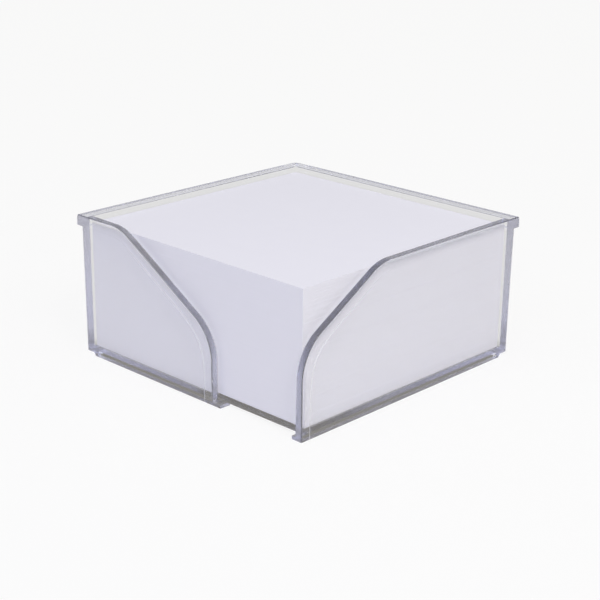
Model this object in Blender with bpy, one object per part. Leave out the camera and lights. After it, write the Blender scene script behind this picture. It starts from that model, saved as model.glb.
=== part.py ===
"""Clear moulded memo cube holder with its loose note sheets.

The holder is one clear moulding: a square tray with a floor, a low foot under its walls, two full
walls with a rim turned out at the top, and a front wall and a right wall whose free edges fall in a
soft S to leave a finger gap at the front right corner. The loose sheets lie in it in sheaves that lift
out one after another. Metres, +Z up, front wall towards -Y, finger gap at +X.
"""

import math

import bmesh
import bpy
from mathutils import Vector

# Note sheets, and the play that they have at each wall
SHEET_SIDE = 0.090
SHEET_PLAY = 0.0006
TOP_SHEET_DEPTH = 0.0018
SHEAF_COUNT = 12
SHEAF_GAP = 0.0003

# Holder, overall
HOLDER_HEIGHT = 0.046
WALL_THICKNESS = 0.0024
FLOOR_THICKNESS = 0.0019

# Foot under the walls
FOOT_HEIGHT = 0.0011
FOOT_WIDTH = 0.0038
FOOT_CORNER_GAP = 0.0043
FOOT_END_SLANT = 0.0009
FOOT_STUB_REACH = 0.0036

# Rim turned out along the back wall and the left wall
RIM_REACH = 0.0027
RIM_HEIGHT = 0.0034
RIM_CORNER_RADIUS = 0.003

# Front wing and right wall: level top, then a straight fall between two soft bends
WING_LENGTH = 0.0593
WING_LEVEL_RUN = 0.0185
WING_FALL_END_HEIGHT = 0.0219
SIDE_LEVEL_RUN = 0.0634
SIDE_FALL_END_HEIGHT = 0.0268
BEND_RADIUS = 0.0155
BEND_STEPS = 14

# Narrow slot that parts the floor from each wall near its free end
RELIEF_WIDTH = 0.0004
RELIEF_LENGTH = 0.005

# How far every cutter runs past what it cuts
OVERRUN = 0.002

# Points of a filled outline nearer than this share of the narrowest slot are one point
WELD_SHARE = 0.01

# Places that follow from the sizes above, in the holder's own frame
INNER_HALF = SHEET_SIDE / 2 + SHEET_PLAY
HALF_WIDTH = INNER_HALF + WALL_THICKNESS
FLOOR_TOP = FOOT_HEIGHT + FLOOR_THICKNESS
FLOOR_EDGE = INNER_HALF - RELIEF_WIDTH
FOOT_INNER_HALF = HALF_WIDTH - FOOT_WIDTH
WING_END = WING_LENGTH - HALF_WIDTH
STACK_TOP = HOLDER_HEIGHT - TOP_SHEET_DEPTH
SHEAF_PITCH = (STACK_TOP - FLOOR_TOP) / SHEAF_COUNT


def clear_scene():
    """Remove every object, so that the script gives the same model each time."""
    for old in list(bpy.data.objects):
        bpy.data.objects.remove(old, do_unlink=True)


def new_collection(name):
    """Add a collection to the scene."""
    collection = bpy.data.collections.new(name)
    bpy.context.scene.collection.children.link(collection)
    return collection


def move_to(item, collection):
    """Leave an object in one collection only."""
    for old in list(item.users_collection):
        old.objects.unlink(item)
    collection.objects.link(item)


def principled(name, colour, roughness, metallic=0.0, transmission=0.0):
    """Make a plain Principled material."""
    material = bpy.data.materials.new(name)
    material.use_nodes = True
    shader = material.node_tree.nodes["Principled BSDF"]
    shader.inputs["Base Color"].default_value = (*colour, 1.0)
    shader.inputs["Roughness"].default_value = roughness
    shader.inputs["Metallic"].default_value = metallic
    shader.inputs["Transmission Weight"].default_value = transmission
    material.diffuse_color = (*colour, 1.0)
    return material


def add_box(name, low, high, collection):
    """Make a box between two corners that are measured from its own origin."""
    low = Vector(low)
    high = Vector(high)
    bpy.ops.mesh.primitive_cube_add(size=1.0)
    box = bpy.context.active_object
    box.name = name
    for vertex in box.data.vertices:
        vertex.co = (low + high) / 2 + vertex.co * (high - low)
    move_to(box, collection)
    return box


def bend_points(before, corner, after, radius):
    """Give the points of the arc that rounds one corner of an outline."""
    corner = Vector(corner)
    back = (Vector(before) - corner).normalized()
    ahead = (Vector(after) - corner).normalized()
    half_angle = back.angle(ahead) / 2
    middle = corner + (back + ahead).normalized() * radius / math.sin(half_angle)
    run = radius / math.tan(half_angle)
    start = corner + back * run - middle
    end = corner + ahead * run - middle
    turn = start.angle_signed(end)
    points = []
    for step in range(BEND_STEPS + 1):
        angle = -turn * step / BEND_STEPS
        x = start.x * math.cos(angle) - start.y * math.sin(angle)
        y = start.x * math.sin(angle) + start.y * math.cos(angle)
        points.append((middle.x + x, middle.y + y))
    return points


def outline_points(corners):
    """Turn corners of the form (x, y, radius) into the points of a closed outline."""
    points = []
    for index, (x, y, radius) in enumerate(corners):
        if not radius:
            points.append((x, y))
            continue
        before = corners[index - 1][:2]
        after = corners[(index + 1) % len(corners)][:2]
        points.extend(bend_points(before, (x, y), after, radius))
    return points


def bend_run(turn_angle):
    """Give the length that a soft bend takes from each straight run beside it."""
    return BEND_RADIUS * math.tan(turn_angle / 2)


def add_plate(name, corners, thickness, collection):
    """Make a flat plate in its own XY plane, centred on it, from a filled 2D curve."""
    curve = bpy.data.curves.new(name + "_outline", "CURVE")
    curve.dimensions = "2D"
    curve.fill_mode = "BOTH"
    curve.extrude = thickness / 2
    spline = curve.splines.new("POLY")
    points = outline_points(corners)
    spline.points.add(len(points) - 1)
    for point, (x, y) in zip(spline.points, points):
        point.co = (x, y, 0.0, 1.0)
    spline.use_cyclic_u = True
    source = bpy.data.objects.new(name + "_outline", curve)
    collection.objects.link(source)
    graph = bpy.context.evaluated_depsgraph_get()
    mesh = bpy.data.meshes.new_from_object(source.evaluated_get(graph))
    bpy.data.objects.remove(source, do_unlink=True)
    weld_mesh(mesh)
    plate = bpy.data.objects.new(name, mesh)
    collection.objects.link(plate)
    return plate


def weld_mesh(mesh):
    """Join a filled curve's loose caps to its sides."""
    work = bmesh.new()
    work.from_mesh(mesh)
    bmesh.ops.remove_doubles(work, verts=work.verts, dist=RELIEF_WIDTH * WELD_SHARE)
    bmesh.ops.recalc_face_normals(work, faces=work.faces)
    work.to_mesh(mesh)
    work.free()


def add_taper(name, low_half, high_half, low, high, centre, collection):
    """Make a square block whose sides slope, from the half sides of its ends."""
    mesh = bpy.data.meshes.new(name)
    work = bmesh.new()
    bmesh.ops.create_cone(
        work,
        cap_ends=True,
        segments=4,
        radius1=low_half * math.sqrt(2),
        radius2=high_half * math.sqrt(2),
        depth=high - low,
    )
    work.to_mesh(mesh)
    work.free()
    block = bpy.data.objects.new(name, mesh)
    block.location = (centre[0], centre[1], (low + high) / 2)
    block.rotation_euler = (0.0, 0.0, math.radians(45))
    collection.objects.link(block)
    return block


def boolean(target, tool, operation):
    """Join a tool to the target, or cut the target with it, and keep the tool as a hidden guide."""
    step = target.modifiers.new(tool.name, "BOOLEAN")
    step.operation = operation
    step.solver = "EXACT"
    step.object = tool
    tool.hide_render = True
    tool.display_type = "WIRE"


def add_rim_tool(tools):
    """Make the L-shaped rim that turns out along the left wall and the back wall."""
    outer = HALF_WIDTH + RIM_REACH
    inside = HALF_WIDTH - WALL_THICKNESS / 2
    corners = [
        (-outer, -HALF_WIDTH, 0.0),
        (-inside, -HALF_WIDTH, 0.0),
        (-inside, inside, 0.0),
        (HALF_WIDTH, inside, 0.0),
        (HALF_WIDTH, outer, 0.0),
        (-outer, outer, RIM_CORNER_RADIUS),
    ]
    rim = add_plate("rim_tool", corners, RIM_HEIGHT, tools)
    rim.location.z = HOLDER_HEIGHT - RIM_HEIGHT / 2
    return rim


def add_wing_cutter(tools):
    """Make the cutter of the finger gap and of the front wing's falling edge."""
    knee = WING_LEVEL_RUN - HALF_WIDTH
    fall = math.atan2(HOLDER_HEIGHT - WING_FALL_END_HEIGHT, WING_END - knee)
    start = knee - bend_run(fall)
    above = HOLDER_HEIGHT + OVERRUN
    corners = [
        (start, above, 0.0),
        (start, HOLDER_HEIGHT, 0.0),
        (knee, HOLDER_HEIGHT, BEND_RADIUS),
        (WING_END, WING_FALL_END_HEIGHT, BEND_RADIUS),
        (WING_END, FOOT_HEIGHT, 0.0),
        (INNER_HALF, FOOT_HEIGHT, 0.0),
        (INNER_HALF, above, 0.0),
    ]
    outside = HALF_WIDTH + OVERRUN
    cutter = add_plate("wing_cutter", corners, outside - FLOOR_EDGE, tools)
    cutter.rotation_euler = (math.radians(90), 0.0, 0.0)
    cutter.location.y = -(outside + FLOOR_EDGE) / 2
    return cutter


def add_side_cutter(tools):
    """Make the cutter of the right wall's falling edge."""
    knee = HALF_WIDTH - SIDE_LEVEL_RUN
    fall = math.atan2(HOLDER_HEIGHT - SIDE_FALL_END_HEIGHT, knee + HALF_WIDTH)
    start = knee + bend_run(fall)
    foot = SIDE_FALL_END_HEIGHT - bend_run(math.radians(90) - fall)
    above = HOLDER_HEIGHT + OVERRUN
    outside = HALF_WIDTH + OVERRUN
    corners = [
        (start, above, 0.0),
        (start, HOLDER_HEIGHT, 0.0),
        (knee, HOLDER_HEIGHT, BEND_RADIUS),
        (-HALF_WIDTH, SIDE_FALL_END_HEIGHT, BEND_RADIUS),
        (-HALF_WIDTH, foot, 0.0),
        (-outside, foot, 0.0),
        (-outside, above, 0.0),
    ]
    cutter = add_plate("side_cutter", corners, outside - FLOOR_EDGE, tools)
    cutter.rotation_euler = (math.radians(90), 0.0, math.radians(90))
    cutter.location.x = (outside + FLOOR_EDGE) / 2
    return cutter


def add_relief_cutters(tools):
    """Make the cutters of the slots between the floor and the two free wall ends."""
    top = FLOOR_TOP + OVERRUN
    wing = add_box(
        "wing_relief",
        (WING_END - RELIEF_LENGTH, -INNER_HALF, FOOT_HEIGHT),
        (WING_END + OVERRUN, -FLOOR_EDGE, top),
        tools,
    )
    side = add_box(
        "side_relief",
        (FLOOR_EDGE, -HALF_WIDTH - OVERRUN, FOOT_HEIGHT),
        (INNER_HALF, -HALF_WIDTH + RELIEF_LENGTH, top),
        tools,
    )
    return [wing, side]


def add_foot_cutters(tools):
    """Make the cutters that leave a low foot under the walls, open at the gap and three corners."""
    below = -OVERRUN
    inner = FOOT_INNER_HALF
    cutters = [add_box("underside_cutter", (-inner, -inner, below), (inner, inner, FOOT_HEIGHT), tools)]
    cutters.append(add_box(
        "foot_gap_cutter",
        (WING_END + FOOT_STUB_REACH, -HALF_WIDTH - OVERRUN, below),
        (inner, -inner + OVERRUN, FOOT_HEIGHT),
        tools,
    ))
    slant = FOOT_END_SLANT / FOOT_HEIGHT
    low_half = FOOT_CORNER_GAP + OVERRUN * slant
    high_half = FOOT_CORNER_GAP - FOOT_END_SLANT
    for name, side_x, side_y in (("front_left", -1, -1), ("back_left", -1, 1), ("back_right", 1, 1)):
        centre = (side_x * HALF_WIDTH, side_y * HALF_WIDTH)
        cutters.append(add_taper(
            name + "_foot_cutter", low_half, high_half, below, FOOT_HEIGHT, centre, tools))
    return cutters


def build_holder(parts, tools):
    """Model the clear holder as one solid."""
    holder = add_box(
        "holder_tray",
        (-HALF_WIDTH, -HALF_WIDTH, 0.0),
        (HALF_WIDTH, HALF_WIDTH, HOLDER_HEIGHT),
        parts,
    )
    boolean(holder, add_rim_tool(tools), "UNION")
    cavity = add_box(
        "cavity_cutter",
        (-INNER_HALF, -INNER_HALF, FLOOR_TOP),
        (INNER_HALF, INNER_HALF, HOLDER_HEIGHT + OVERRUN),
        tools,
    )
    boolean(holder, cavity, "DIFFERENCE")
    boolean(holder, add_wing_cutter(tools), "DIFFERENCE")
    boolean(holder, add_side_cutter(tools), "DIFFERENCE")
    for cutter in add_relief_cutters(tools) + add_foot_cutters(tools):
        boolean(holder, cutter, "DIFFERENCE")
    holder.data.materials.append(principled("clear_plastic", (0.86, 0.88, 0.92), 0.04, transmission=1.0))
    return holder


def build_sheaf(number, parts):
    """Model one sheaf of loose sheets, standing on its joint's axis."""
    half = SHEET_SIDE / 2
    half_thickness = (SHEAF_PITCH - SHEAF_GAP) / 2
    name = f"note_sheets_{number:02d}"
    sheaf = add_box(name, (-half, -half, -half_thickness), (half, half, half_thickness), parts)
    sheaf.data.materials.append(principled(f"note_paper_{number:02d}", (0.80, 0.79, 0.83), 0.75))
    return sheaf


def build_stack(holder, parts):
    """Stack the sheaves in the holder, each carried by the one below it."""
    carrier = holder
    height = FLOOR_TOP + SHEAF_GAP + (SHEAF_PITCH - SHEAF_GAP) / 2
    for number in range(1, SHEAF_COUNT + 1):
        sheaf = build_sheaf(number, parts)
        sheaf.parent = carrier
        sheaf.location = (0.0, 0.0, height)
        carrier = sheaf
        height = SHEAF_PITCH


def place_on_centre(holder, tools, parts):
    """Put the middle of the whole outline, rim included, over the origin."""
    centre = bpy.data.objects.new("outline_centre", None)
    centre.location = (RIM_REACH / 2, -RIM_REACH / 2, 0.0)
    parts.objects.link(centre)
    holder.parent = centre
    for tool in tools.objects:
        tool.parent = centre


def main():
    """Model the holder and its sheets."""
    clear_scene()
    parts = new_collection("memo_cube_holder")
    tools = new_collection("holder_cutters")
    holder = build_holder(parts, tools)
    build_stack(holder, parts)
    place_on_centre(holder, tools, parts)
    bpy.context.view_layer.update()


main()
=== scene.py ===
"""Looks of a clear moulded memo cube holder and the loose note sheets that it holds.

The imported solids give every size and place. The holder's moulding is dressed from a merged copy of its
solid, with its edges rounded, and each sheaf is rebuilt sheet by sheet. Metres, +Z up, the front wall
towards -Y and the finger gap at the front right corner.
"""

import logging
import math
import random
from dataclasses import dataclass
from enum import Enum

import bmesh
import bpy
from mathutils import Matrix, Vector


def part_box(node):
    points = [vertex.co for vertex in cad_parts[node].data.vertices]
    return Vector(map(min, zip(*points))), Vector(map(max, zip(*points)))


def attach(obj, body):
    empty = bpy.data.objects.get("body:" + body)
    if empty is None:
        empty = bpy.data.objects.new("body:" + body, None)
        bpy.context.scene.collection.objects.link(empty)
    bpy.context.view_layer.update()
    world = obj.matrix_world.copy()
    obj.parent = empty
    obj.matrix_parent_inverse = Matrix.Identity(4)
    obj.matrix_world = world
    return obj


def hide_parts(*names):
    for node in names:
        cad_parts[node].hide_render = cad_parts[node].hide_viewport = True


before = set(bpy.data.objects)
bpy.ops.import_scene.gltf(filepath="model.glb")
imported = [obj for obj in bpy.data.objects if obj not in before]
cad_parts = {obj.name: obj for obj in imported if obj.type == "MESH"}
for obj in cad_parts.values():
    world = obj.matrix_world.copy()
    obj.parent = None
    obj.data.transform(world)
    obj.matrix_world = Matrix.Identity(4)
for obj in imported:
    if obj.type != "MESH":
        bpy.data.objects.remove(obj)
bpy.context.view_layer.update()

LOG = logging.getLogger("memo_cube_holder")
MM = 0.001
SATIN_LAYER = "satin"

Colour = tuple[float, float, float]


class Signal:
    """A number that a shader works out, on which Python's operators add Math nodes."""

    def __init__(self, graph: "ShaderGraph", socket: bpy.types.NodeSocket) -> None:
        """Wrap one output socket.

        Args:
            graph: The shader graph that the socket belongs to.
            socket: The output socket that carries the number.
        """
        self.graph = graph
        self.socket = socket

    def apply(self, operation: str, *others: "Signal | float", first: bool = True) -> "Signal":
        """Add one Math node.

        Args:
            operation: The Math node's operation.
            others: The node's other values.
            first: Whether this signal is the first value.

        Returns:
            The signal that the node gives.
        """
        values = [self, *others] if first else [*others, self]
        node = self.graph.node("ShaderNodeMath", {"operation": operation}, dict(enumerate(values)))
        return Signal(self.graph, node.outputs[0])

    def __add__(self, other: "Signal | float") -> "Signal":
        """Give this signal plus another."""
        return self.apply("ADD", other)

    def __radd__(self, other: float) -> "Signal":
        """Give a number plus this signal."""
        return self.apply("ADD", other)

    def __sub__(self, other: "Signal | float") -> "Signal":
        """Give this signal less another."""
        return self.apply("SUBTRACT", other)

    def __rsub__(self, other: float) -> "Signal":
        """Give a number less this signal."""
        return self.apply("SUBTRACT", other, first=False)

    def __mul__(self, other: "Signal | float") -> "Signal":
        """Give this signal times another."""
        return self.apply("MULTIPLY", other)

    def __rmul__(self, other: float) -> "Signal":
        """Give a number times this signal."""
        return self.apply("MULTIPLY", other)

    def clamped(self) -> "Signal":
        """Keep the signal between 0 and 1."""
        return self.apply("MAXIMUM", 0.0).apply("MINIMUM", 1.0)


class ShaderGraph:
    """The node tree of one material or world, filled by plain calls."""

    def __init__(self, owner: bpy.types.ID) -> None:
        """Empty the tree of a material or a world.

        Args:
            owner: The material or the world.
        """
        owner.use_nodes = True
        self.tree = owner.node_tree
        self.tree.nodes.clear()

    def node(self, kind: str, settings: dict | None = None, inputs: dict | None = None) -> bpy.types.Node:
        """Add any node.

        Args:
            kind: The node's type.
            settings: Its settings, which are set first.
            inputs: The values or links of its sockets, by name or number.

        Returns:
            The new node.
        """
        made = self.tree.nodes.new(kind)
        for name, value in (settings or {}).items():
            setattr(made, name, value)
        for name, value in (inputs or {}).items():
            self.feed(made.inputs[name], value)
        return made

    def feed(self, socket: bpy.types.NodeSocket, value: object) -> None:
        """Set a socket, or link it.

        Args:
            socket: The input socket.
            value: A signal, an output socket, a colour, a vector or a number.
        """
        if isinstance(value, Signal):
            value = value.socket
        if isinstance(value, bpy.types.NodeSocket):
            self.tree.links.new(value, socket)
            return
        if socket.type == "RGBA" and len(value) == 3:
            value = (*value, 1.0)
        socket.default_value = value

    def signal(
        self,
        kind: str,
        output: str | int,
        settings: dict | None = None,
        inputs: dict | None = None,
    ) -> Signal:
        """Add any node and wrap one of its outputs.

        Args:
            kind: The node's type.
            output: The output's name or number.
            settings: The node's settings.
            inputs: The values or links of its sockets.

        Returns:
            The wrapped output.
        """
        return Signal(self, self.node(kind, settings, inputs).outputs[output])

    def blend(self, factor: Signal, low: object, high: object) -> bpy.types.NodeSocket:
        """Mix two colours.

        Args:
            factor: How much of the second colour shows.
            low: The colour or socket at 0.
            high: The colour or socket at 1.

        Returns:
            The mixed colour's socket.
        """
        names = {0: factor, 6: low, 7: high}
        return self.node("ShaderNodeMix", {"data_type": "RGBA"}, names).outputs[2]

    def along(self, where: bpy.types.NodeSocket, way: tuple[float, float, float]) -> Signal:
        """Tell how far a place or a heading lies along some way.

        Args:
            where: The socket of the place or the heading.
            way: The way to measure it along.

        Returns:
            Their dot product.
        """
        return self.signal("ShaderNodeVectorMath", 1, {"operation": "DOT_PRODUCT"}, {0: where, 1: way})

    def place(self, stretch: Vector) -> bpy.types.NodeSocket:
        """Give the piece's own coordinates, stretched.

        Args:
            stretch: How much finer the pattern is along each axis.

        Returns:
            The stretched coordinates' socket.
        """
        where = self.node("ShaderNodeTexCoord").outputs["Object"]
        return self.node("ShaderNodeMapping", {}, {"Vector": where, "Scale": stretch}).outputs[0]

    def noise(self, stretch: Vector, detail: float = 2.0) -> Signal:
        """Give a noise pattern on the piece's own coordinates.

        Args:
            stretch: How many patches a metre holds along each axis.
            detail: How much finer noise is added to it.

        Returns:
            The noise, around one half.
        """
        inputs = {"Vector": self.place(stretch), "Scale": 1.0, "Detail": detail, "Roughness": 0.55}
        return self.signal("ShaderNodeTexNoise", 0, {}, inputs)


@dataclass(frozen=True)
class ClearPlastic:
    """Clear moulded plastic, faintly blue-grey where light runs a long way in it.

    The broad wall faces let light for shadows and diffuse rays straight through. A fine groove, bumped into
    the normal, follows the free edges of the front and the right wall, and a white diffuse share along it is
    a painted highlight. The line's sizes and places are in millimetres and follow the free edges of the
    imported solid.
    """

    name: str = "clear_plastic"
    tint: Colour = (0.985, 0.987, 0.995)
    depth_tint: Colour = (0.60, 0.60, 0.80)
    depth_density: float = 7.0
    refraction: float = 1.59
    polish: float = 0.10
    satin: float = 0.08
    smudge: float = 0.03
    ripple_height: float = 0.0003 * MM
    line_depth: float = 0.05 * MM
    line_half: float = 0.20
    line_inset: float = 3.3
    # painted highlight: the white of the line and how much of it shows
    painted_highlight_white: Colour = (0.95, 0.95, 0.97)
    painted_highlight_share: float = 0.55
    faint_height: float = 35.0
    faint_share: float = 0.12
    outer_side: float = 48.2
    level: float = 46.0
    fall_angle: float = math.radians(30.55)
    front_fall: float = 25.29
    front_end: float = 12.65
    right_fall: float = 48.14
    right_end: float = 49.35
    upper_bend: float = 3.4
    lower_bend: float = 13.4

    def make(self) -> bpy.types.Material:
        """Build the material.

        Returns:
            The material.
        """
        material = bpy.data.materials.new(self.name)
        graph = ShaderGraph(material)
        handled = graph.noise(Vector((70.0, 70.0, 70.0)), 4.0)
        flow = graph.noise(Vector((130.0, 130.0, 50.0)), 1.0)
        groove_and_painted_highlight = self.groove_and_painted_highlight(graph)
        dull = graph.signal("ShaderNodeAttribute", "Fac", {"attribute_name": SATIN_LAYER})
        bump = graph.node("ShaderNodeBump", {}, {
            "Strength": 0.25, "Distance": self.ripple_height, "Height": flow})
        bump = graph.node("ShaderNodeBump", {}, {
            "Strength": 1.0,
            "Distance": self.line_depth,
            "Height": groove_and_painted_highlight * -1.0,
            "Normal": bump.outputs[0],
        })
        colour = graph.blend(handled, self.tint, tuple(0.985 * part for part in self.tint))
        glass = graph.node("ShaderNodeBsdfPrincipled", {}, {
            "Base Color": colour,
            "Roughness": self.polish + self.satin * dull + self.smudge * (handled - 0.45).clamped(),
            "IOR": self.refraction,
            "Transmission Weight": 1.0,
            "Normal": bump.outputs[0],
        })
        depth = graph.node("ShaderNodeVolumeAbsorption", {}, {
            "Color": self.depth_tint, "Density": self.depth_density})
        path = graph.node("ShaderNodeLightPath")
        lit = Signal(graph, path.outputs["Is Shadow Ray"]) + Signal(graph, path.outputs["Is Diffuse Ray"])
        # painted highlight: a white diffuse share along the groove stands in for the light that the groove
        # catches
        painted_highlight = graph.node("ShaderNodeBsdfDiffuse", {}, {"Color": self.painted_highlight_white})
        glass = graph.node("ShaderNodeMixShader", {}, {
            0: groove_and_painted_highlight * self.painted_highlight_share, 1: glass.outputs[0], 2: painted_highlight.outputs[0]})
        clear = graph.node("ShaderNodeBsdfTransparent", {}, {"Color": (0.99, 0.99, 0.99)})
        surface = graph.node("ShaderNodeMixShader", {}, {
            0: lit.clamped() * (1.0 - dull).clamped(), 1: glass.outputs[0], 2: clear.outputs[0]})
        graph.node("ShaderNodeOutputMaterial", {}, {
            "Surface": surface.outputs[0], "Volume": depth.outputs[0]})
        return material

    def groove_and_painted_highlight(self, graph: ShaderGraph) -> Signal:
        """Place the fine groove and its painted highlight, which follow the free edge of the front and the
        right wall.

        Args:
            graph: The material's graph.

        Returns:
            One on the line and zero beside it.
        """
        where = graph.node("ShaderNodeTexCoord").outputs["Object"]
        x, y, z = (graph.along(where, tuple(row / MM)) for row in Matrix.Identity(3))
        front = self.line(x, z, self.front_fall, self.front_end) * (y * -1.0 - self.outer_side).clamped()
        right = self.line(y * -1.0, z, self.right_fall, self.right_end) * (x - self.outer_side).clamped()
        return (front + right) * (1.0 - (z - self.faint_height) * self.faint_share).clamped()

    def line(self, along: Signal, height: Signal, fall: float, end: float) -> Signal:
        """Give a line at one distance inside a wall's free edge.

        Args:
            along: The place along the wall, in millimetres.
            height: The height, in millimetres.
            fall: How far the falling edge lies from the origin, square to itself.
            end: Where the wall ends.

        Returns:
            One on the line and zero beside it.
        """
        slope = along * math.sin(self.fall_angle) + height * math.cos(self.fall_angle) - fall
        upper = (height - self.level).apply("SMOOTH_MAX", slope, self.upper_bend)
        edge = upper.apply("SMOOTH_MAX", along - end, self.lower_bend)
        return (1.0 - (edge + self.line_inset).apply("ABSOLUTE") * (1.0 / self.line_half)).clamped()


@dataclass(frozen=True)
class NotePaper:
    """White uncoated note paper: a fibrous face and fine lines where the sheets' edges show."""

    name: str = "note_paper"
    face: Colour = (0.800, 0.792, 0.842)
    cloud: Colour = (0.785, 0.777, 0.829)
    cut_line: Colour = (0.782, 0.774, 0.826)
    fibre_height: float = 0.012 * MM

    def make(self) -> bpy.types.Material:
        """Build the material.

        Returns:
            The material.
        """
        material = bpy.data.materials.new(self.name)
        graph = ShaderGraph(material)
        clouds = graph.noise(Vector((160.0, 160.0, 160.0)), 3.0)
        fibres = graph.noise(Vector((2600.0, 5200.0, 2600.0)), 3.0)
        lines = graph.noise(Vector((18.0, 18.0, 3300.0)), 2.0)
        facing = graph.node("ShaderNodeNewGeometry").outputs["Normal"]
        upward = graph.signal("ShaderNodeSeparateXYZ", 2, {}, {0: facing}).apply("ABSOLUTE")
        edge = (1.0 - upward).clamped()
        sheet = graph.blend(clouds, self.face, self.cloud)
        colour = graph.blend(edge * ((lines - 0.42) * 2.4).clamped(), sheet, self.cut_line)
        bump = graph.node("ShaderNodeBump", {}, {
            "Strength": 0.35, "Distance": self.fibre_height, "Height": fibres + edge * lines})
        paper = graph.node("ShaderNodeBsdfPrincipled", {}, {
            "Base Color": colour,
            "Roughness": 0.82 + 0.14 * fibres,
            "IOR": 1.4,
            "Specular IOR Level": 0.25,
            "Normal": bump.outputs[0],
        })
        graph.node("ShaderNodeOutputMaterial", {}, {"Surface": paper.outputs[0]})
        return material


@dataclass(frozen=True)
class StudioFloor:
    """A white sweep that looks white to the camera and still keeps the holder's shadow.

    Rays through or off the plastic see a painted shadow under the tray, a dark emission, and a beige floor
    round it, which gives the edges, the rim and the foot their tones.
    """

    name: str = "studio_floor"
    white: Colour = (0.77, 0.765, 0.75)
    seen: Colour = (1.0, 1.0, 1.0)
    # under: the colour of the painted shadow, which the plastic sees emitted from the floor under the tray
    under: Colour = (0.20, 0.19, 0.165)
    through: Colour = (0.79, 0.785, 0.765)
    seen_share: float = 0.85
    through_share: float = 0.75
    painted_shadow_share: float = 0.60
    tray_x: float = 1.35 * MM
    tray_y: float = -1.35 * MM
    shade_start: float = 46.5 * MM
    shade_width: float = 12.0 * MM

    def make(self) -> bpy.types.Material:
        """Build the material.

        Returns:
            The material.
        """
        material = bpy.data.materials.new(self.name)
        graph = ShaderGraph(material)
        path = graph.node("ShaderNodeLightPath")
        camera = Signal(graph, path.outputs["Is Camera Ray"])
        glossy = Signal(graph, path.outputs["Is Glossy Ray"])
        through = Signal(graph, path.outputs["Is Transmission Ray"])
        grain = graph.noise(Vector((40.0, 40.0, 40.0)), 3.0)
        tone = graph.blend(grain, self.white, tuple(0.99 * part for part in self.white))
        cloth = graph.node("ShaderNodeBsdfPrincipled", {}, {
            "Base Color": tone, "Roughness": 0.9 + 0.05 * grain, "Specular IOR Level": 0.0})
        spot = graph.node("ShaderNodeTexCoord").outputs["Object"]
        out_x = (graph.along(spot, (1.0, 0.0, 0.0)) - self.tray_x).apply("ABSOLUTE")
        out_y = (graph.along(spot, (0.0, 1.0, 0.0)) - self.tray_y).apply("ABSOLUTE")
        away = out_x.apply("MAXIMUM", out_y)
        # outside is zero under the tray, where the painted shadow shows, and one round it
        outside = ((away - self.shade_start) * (1.0 / self.shade_width)).clamped()
        tint = graph.blend(camera, graph.blend(outside, self.under, self.through), self.seen)
        light = graph.node("ShaderNodeEmission", {}, {"Color": tint, "Strength": 1.0})
        clear = outside * self.through_share + (1.0 - outside) * self.painted_shadow_share
        share = camera * self.seen_share + (glossy + through) * clear
        mixed = graph.node("ShaderNodeMixShader", {}, {
            0: share.clamped(), 1: cloth.outputs[0], 2: light.outputs[0]})
        graph.node("ShaderNodeOutputMaterial", {}, {"Surface": mixed.outputs[0]})
        return material


class Gloss(Enum):
    """How dull the faces of the moulding are, as a share of the satin finish."""

    WALL = 0.0
    EDGE = 1.0
    FLOOR = 1.3


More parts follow.
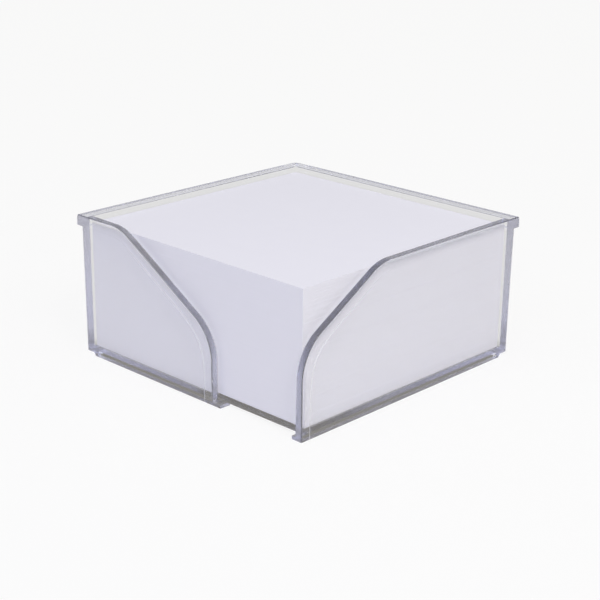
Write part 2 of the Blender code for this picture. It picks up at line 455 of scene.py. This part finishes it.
@dataclass
class HolderMoulding:
    """The clear holder, dressed from its own solid with every edge rounded."""

    node: str = "holder_tray"
    rim_round: float = 0.35 * MM
    fall_round: float = 0.45 * MM
    lip_round: float = 0.08 * MM
    corner_round: float = 0.55 * MM
    foot_round: float = 0.10 * MM
    round_steps: int = 3
    sharp_angle: float = math.radians(35.0)
    weld: float = 0.005 * MM
    wall_area: float = 60.0 * MM * MM
    free_depth: float = 3.0 * MM
    free_start: float = 6.0 * MM
    low_edge: float = 4.0 * MM
    lip_height: float = 1.0 * MM
    floor_area: float = 2000.0 * MM * MM
    flat_angle: float = math.radians(0.4)
    corner_rise: float = 8.0 * MM
    corner_lean: float = 0.1 * MM
    ground: float = 0.02 * MM

    def __post_init__(self) -> None:
        """Look up the box of the moulding's own solid."""
        self.low, self.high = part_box(self.node)

    def build(self) -> bpy.types.Object:
        """Build the moulding's mesh and object.

        Returns:
            The moulding.
        """
        work = bmesh.new()
        work.from_mesh(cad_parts[self.node].data)
        bmesh.ops.remove_doubles(work, verts=work.verts, dist=self.weld)
        bmesh.ops.dissolve_limit(
            work, angle_limit=self.flat_angle, verts=work.verts, edges=work.edges)
        self.round_edges(work)
        self.sort_faces(work)
        for face in work.faces:
            face.smooth = True
        mesh = bpy.data.meshes.new("clear_holder")
        work.to_mesh(mesh)
        work.free()
        mesh.set_sharp_from_angle(angle=self.sharp_angle)
        holder = bpy.data.objects.new("clear_holder", mesh)
        bpy.context.scene.collection.objects.link(holder)
        shading = holder.modifiers.new("broad_faces_flat", "WEIGHTED_NORMAL")
        shading.keep_sharp = True
        shading.weight = 100
        return holder

    def round_edges(self, work: bmesh.types.BMesh) -> None:
        """Round the free edges, the corners, the rim's top, its lower edges and the foot.

        Args:
            work: The moulding's mesh.
        """
        groups = (
            (self.is_fall_edge, self.fall_round),
            (self.is_corner_edge, self.corner_round),
            (self.is_rim_edge, self.rim_round),
            (self.is_lip_edge, self.lip_round),
            (self.is_foot_edge, self.foot_round),
        )
        for chosen, radius in groups:
            edges = [edge for edge in work.edges if self.is_sharp(edge) and chosen(edge)]
            bmesh.ops.bevel(
                work, geom=edges, offset=radius, offset_type="OFFSET", segments=self.round_steps,
                profile=0.5, affect="EDGES", clamp_overlap=False, material=-1)

    def is_sharp(self, edge: bmesh.types.BMEdge) -> bool:
        """Tell whether an edge is an outward corner of the moulding."""
        return len(edge.link_faces) == 2 and edge.is_convex and edge.calc_face_angle() > self.sharp_angle

    def is_corner_edge(self, edge: bmesh.types.BMEdge) -> bool:
        """Tell whether an edge runs up one of the outer corners."""
        one, two = (vertex.co for vertex in edge.verts)
        return abs(one.z - two.z) > self.corner_rise and (one - two).xy.length < self.corner_lean

    def is_fall_edge(self, edge: bmesh.types.BMEdge) -> bool:
        """Tell whether an edge borders the free edge of the front or the right wall."""
        one, two = (vertex.co for vertex in edge.verts)
        in_front = max(one.y, two.y) < self.low.y + self.free_depth
        front = in_front and max(one.x, two.x) > self.low.x + self.free_start
        at_right = min(one.x, two.x) > self.high.x - self.free_depth
        right = at_right and min(one.y, two.y) < self.high.y - self.free_start
        return (front or right) and max(one.z, two.z) > self.low_edge

    def is_rim_edge(self, edge: bmesh.types.BMEdge) -> bool:
        """Tell whether an edge borders the rim's top on its outer side."""
        one, two = (vertex.co for vertex in edge.verts)
        left = max(one.x, two.x) < self.low.x + self.lip_height
        back = min(one.y, two.y) > self.high.y - self.lip_height
        return (left or back) and min(one.z, two.z) > self.high.z - self.lip_height

    def is_lip_edge(self, edge: bmesh.types.BMEdge) -> bool:
        """Tell whether an edge is one of the rim's lower edges or a wall's lower end."""
        one, two = (vertex.co for vertex in edge.verts)
        return min(one.z, two.z) > self.low_edge

    def is_foot_edge(self, edge: bmesh.types.BMEdge) -> bool:
        """Tell whether an edge borders the foot's underside."""
        one, two = (vertex.co for vertex in edge.verts)
        return max(one.z, two.z) < self.ground

    def sort_faces(self, work: bmesh.types.BMesh) -> None:
        """Note on each face how dull it is.

        Args:
            work: The moulding's mesh.
        """
        layer = work.faces.layers.float.new(SATIN_LAYER)
        for face in work.faces:
            upright = abs(face.normal.z) < 0.02 and max(abs(face.normal.x), abs(face.normal.y)) > 0.999
            area = face.calc_area()
            kind = Gloss.WALL if upright and area > self.wall_area else Gloss.EDGE
            if abs(face.normal.z) > 0.999 and area > self.floor_area:
                kind = Gloss.FLOOR
            face[layer] = kind.value

    def dress(self, holder: bpy.types.Object) -> None:
        """Give the moulding its finish and its place in the frame.

        Args:
            holder: The moulding.
        """
        holder.data.materials.append(ClearPlastic().make())
        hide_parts(self.node)
        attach(holder, "holder")


@dataclass
class NoteStack:
    """The loose sheets, rebuilt one by one inside each sheaf's own room."""

    sheaf_count: int = 12
    sheet_pitch: float = 0.1 * MM
    air_share: float = 0.04
    jitter: float = 0.03 * MM
    drift: float = 0.014 * MM
    seed: int = 7
    node_gap: float = 0.3 * MM
    rest_gap: float = 0.05 * MM

    def build(self, number: int, floor_top: float) -> bpy.types.Object:
        """Build one sheaf.

        Args:
            number: The sheaf's number, from the bottom up.
            floor_top: The height at which its lowest sheet lies.

        Returns:
            The sheaf.
        """
        low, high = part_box(f"note_sheets_{number:02d}")
        count = round((high.z - floor_top) / self.sheet_pitch)
        pitch = (high.z - floor_top) / count
        chance = random.Random(self.seed * 100 + number)
        work = bmesh.new()
        slip = Vector((0.0, 0.0))
        for index in range(count):
            slip = slip * 0.86 + Vector((chance.gauss(0.0, self.drift), chance.gauss(0.0, self.drift * 0.3)))
            self.add_sheet(work, low, high, floor_top + index * pitch, pitch, slip, chance)
        mesh = bpy.data.meshes.new(f"loose_sheets_{number:02d}")
        work.to_mesh(mesh)
        work.free()
        sheaf = bpy.data.objects.new(mesh.name, mesh)
        bpy.context.scene.collection.objects.link(sheaf)
        return sheaf

    def add_sheet(
        self,
        work: bmesh.types.BMesh,
        low: Vector,
        high: Vector,
        bottom: float,
        pitch: float,
        slip: Vector,
        chance: random.Random,
    ) -> None:
        """Add one sheet to a sheaf.

        Args:
            work: The sheaf's mesh.
            low: The sheaf's lowest corner.
            high: The sheaf's highest corner.
            bottom: The height of the sheet's underside.
            pitch: The height that the sheet takes.
            slip: How far the sheets around it have slipped.
            chance: The sheaf's own random numbers.
        """
        thick = pitch * (1.0 - self.air_share)
        room = self.jitter + 0.1 * MM
        reach = (
            max(-room, min(room, slip.x + chance.uniform(-self.jitter, self.jitter) * 0.4)),
            max(-room, min(room, slip.y + chance.uniform(-self.jitter, self.jitter) * 0.1)),
        )
        side = Vector((high.x - low.x, high.y - low.y, thick))
        centre = Vector((
            (low.x + high.x) / 2 + reach[0],
            (low.y + high.y) / 2 + reach[1],
            bottom + thick / 2,
        ))
        turn = Matrix.Rotation(chance.gauss(0.0, 0.00008), 4, "Z")
        place = Matrix.Translation(centre) @ turn @ Matrix.Diagonal((*side, 1.0))
        bmesh.ops.create_cube(work, size=1.0, matrix=place)

    def dress(self, sheaf: bpy.types.Object, number: int, paper: bpy.types.Material) -> None:
        """Give a sheaf its paper and its place in the frame.

        Args:
            sheaf: The sheaf.
            number: The sheaf's number.
            paper: The paper's material.
        """
        sheaf.data.materials.append(paper)
        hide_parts(f"note_sheets_{number:02d}")
        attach(sheaf, f"sheaf_{number:02d}")

    def build_all(self) -> list[bpy.types.Object]:
        """Build and dress every sheaf from the floor up.

        Returns:
            The sheaves.
        """
        paper = NotePaper().make()
        floor_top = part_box("note_sheets_01")[0].z - self.node_gap + self.rest_gap
        made = []
        for number in range(1, self.sheaf_count + 1):
            sheaf = self.build(number, floor_top)
            self.dress(sheaf, number, paper)
            floor_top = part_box(f"note_sheets_{number:02d}")[1].z
            made.append(sheaf)
        return made


@dataclass
class Studio:
    """The white sweep, the soft lights and the camera."""

    azimuth: float = math.radians(43.741)
    elevation: float = math.radians(19.55)
    roll: float = math.radians(0.677)
    distance: float = 458.56 * MM
    pan: float = 0.601 * MM
    lift: float = 17.33 * MM
    lens_mm: float = 84.724
    floor_reach: float = 4.0
    floor_gap: float = 0.03 * MM
    right_light_power: float = 1.95
    left_light_power: float = 0.95
    light_size: float = 0.30
    light_distance: float = 0.9
    right_light_tint: Colour = (1.0, 0.98, 0.95)
    left_light_tint: Colour = (0.48, 0.57, 1.12)
    low_sky: Colour = (0.37, 0.37, 0.41)
    high_sky: Colour = (1.24, 1.23, 1.15)
    rear_shade: Colour = (0.30, 0.30, 0.32)
    front_shade: Colour = (1.33, 1.33, 1.36)
    room_dark: Colour = (0.69, 0.70, 0.84)
    room_light: Colour = (0.94, 0.94, 0.95)

    def build_camera(self, centre: Vector) -> None:
        """Make the camera that looks at the holder as the photograph does.

        Args:
            centre: The point under the middle of the four walls.
        """
        away = Vector((
            math.sin(self.azimuth) * math.cos(self.elevation),
            -math.cos(self.azimuth) * math.cos(self.elevation),
            math.sin(self.elevation),
        ))
        level = Vector((math.cos(self.azimuth), math.sin(self.azimuth), 0.0))
        upright = away.cross(level)
        right = level * math.cos(self.roll) + upright * math.sin(self.roll)
        up = upright * math.cos(self.roll) - level * math.sin(self.roll)
        place = centre + away * self.distance + level * self.pan + upright * self.lift
        turn = Matrix((right, up, away)).transposed().to_4x4()
        data = bpy.data.cameras.new("studio_camera")
        data.lens = self.lens_mm
        data.sensor_width = 36.0
        data.clip_start = 0.01
        camera = bpy.data.objects.new("studio_camera", data)
        camera.matrix_world = Matrix.Translation(place) @ turn
        bpy.context.scene.collection.objects.link(camera)
        bpy.context.scene.camera = camera

    def build_floor(self) -> None:
        """Make the white sweep that the holder stands on."""
        work = bmesh.new()
        bmesh.ops.create_grid(work, x_segments=8, y_segments=8, size=self.floor_reach)
        mesh = bpy.data.meshes.new("studio_floor")
        work.to_mesh(mesh)
        work.free()
        mesh.materials.append(StudioFloor().make())
        mesh.transform(Matrix.Translation((0.0, 0.0, -self.floor_gap)))
        floor = bpy.data.objects.new("studio_floor", mesh)
        bpy.context.scene.collection.objects.link(floor)

    def build_world(self) -> None:
        """Make the soft light from all round, white to the camera and a tinted room to the plastic."""
        world = bpy.data.worlds.new("studio_light")
        bpy.context.scene.world = world
        graph = ShaderGraph(world)
        heading = graph.node("ShaderNodeTexCoord").outputs["Generated"]
        height = graph.along(heading, (0.0, 0.0, 1.0))
        ahead = graph.along(heading, (math.sin(self.azimuth), -math.cos(self.azimuth), 0.0))
        path = graph.node("ShaderNodeLightPath")
        camera = Signal(graph, path.outputs["Is Camera Ray"])
        glossy = Signal(graph, path.outputs["Is Glossy Ray"])
        through = Signal(graph, path.outputs["Is Transmission Ray"])
        dome = graph.blend(height.clamped(), self.low_sky, self.high_sky)
        shade = graph.blend((0.5 + ahead * 0.5).clamped(), self.rear_shade, self.front_shade)
        dome = graph.node("ShaderNodeVectorMath", {"operation": "MULTIPLY"}, {0: dome, 1: shade}).outputs[0]
        behind = (0.75 - ahead * 2.2).clamped() * (1.20 - height * 2.6).clamped()
        room = graph.blend(behind, self.room_dark, self.room_light)
        seen = graph.blend((glossy + through).clamped(), dome, room)
        colour = graph.blend(camera, seen, (1.0, 1.0, 1.0))
        light = graph.node("ShaderNodeBackground", {}, {"Color": colour, "Strength": 1.0})
        graph.node("ShaderNodeOutputWorld", {}, {"Surface": light.outputs[0]})

    def build_lamps(self, centre: Vector) -> None:
        """Hang the soft boxes over the holder.

        Args:
            centre: The point under the middle of the four walls.
        """
        boxes = (
            ("right", (0.71, -0.23, 0.66), self.right_light_power, self.right_light_tint),
            ("left", (0.23, -0.71, 0.66), self.left_light_power, self.left_light_tint),
        )
        for name, heading, power, tint in boxes:
            data = bpy.data.lights.new(f"{name}_soft_box", "AREA")
            data.shape = "RECTANGLE"
            data.size = self.light_size
            data.size_y = self.light_size
            data.energy = power
            data.color = tint
            lamp = bpy.data.objects.new(f"{name}_soft_box", data)
            place = centre + Vector(heading) * self.light_distance
            turn = (place - centre).to_track_quat("Z", "Y").to_matrix().to_4x4()
            lamp.matrix_world = Matrix.Translation(place) @ turn
            bpy.context.scene.collection.objects.link(lamp)

    def build(self, centre: Vector) -> None:
        """Make the whole studio.

        Args:
            centre: The point under the middle of the four walls.
        """
        scene = bpy.context.scene
        scene.view_settings.view_transform = "Standard"
        scene.cycles.max_bounces = 32
        scene.cycles.blur_glossy = 0.0
        scene.cycles.glossy_bounces = 28
        scene.cycles.transmission_bounces = 28
        scene.cycles.transparent_max_bounces = 32
        self.build_camera(centre)
        self.build_floor()
        self.build_world()
        self.build_lamps(centre)


def sheet_centre() -> Vector:
    """Give the point on the ground under the middle of the sheets.

    Returns:
        The point.
    """
    low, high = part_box("note_sheets_01")
    return Vector(((low.x + high.x) / 2, (low.y + high.y) / 2, 0.0))


def main() -> None:
    """Build the studio, the holder and its sheets in order."""
    logging.basicConfig(level=logging.INFO, format="%(message)s")
    Studio().build(sheet_centre())
    LOG.info("studio: floor, light and camera")
    moulding = HolderMoulding()
    holder = moulding.build()
    moulding.dress(holder)
    LOG.info("%s: %d faces", holder.name, len(holder.data.polygons))
    for sheaf in NoteStack().build_all():
        LOG.info("%s: %d faces", sheaf.name, len(sheaf.data.polygons))


if __name__ == "__main__":
    main()
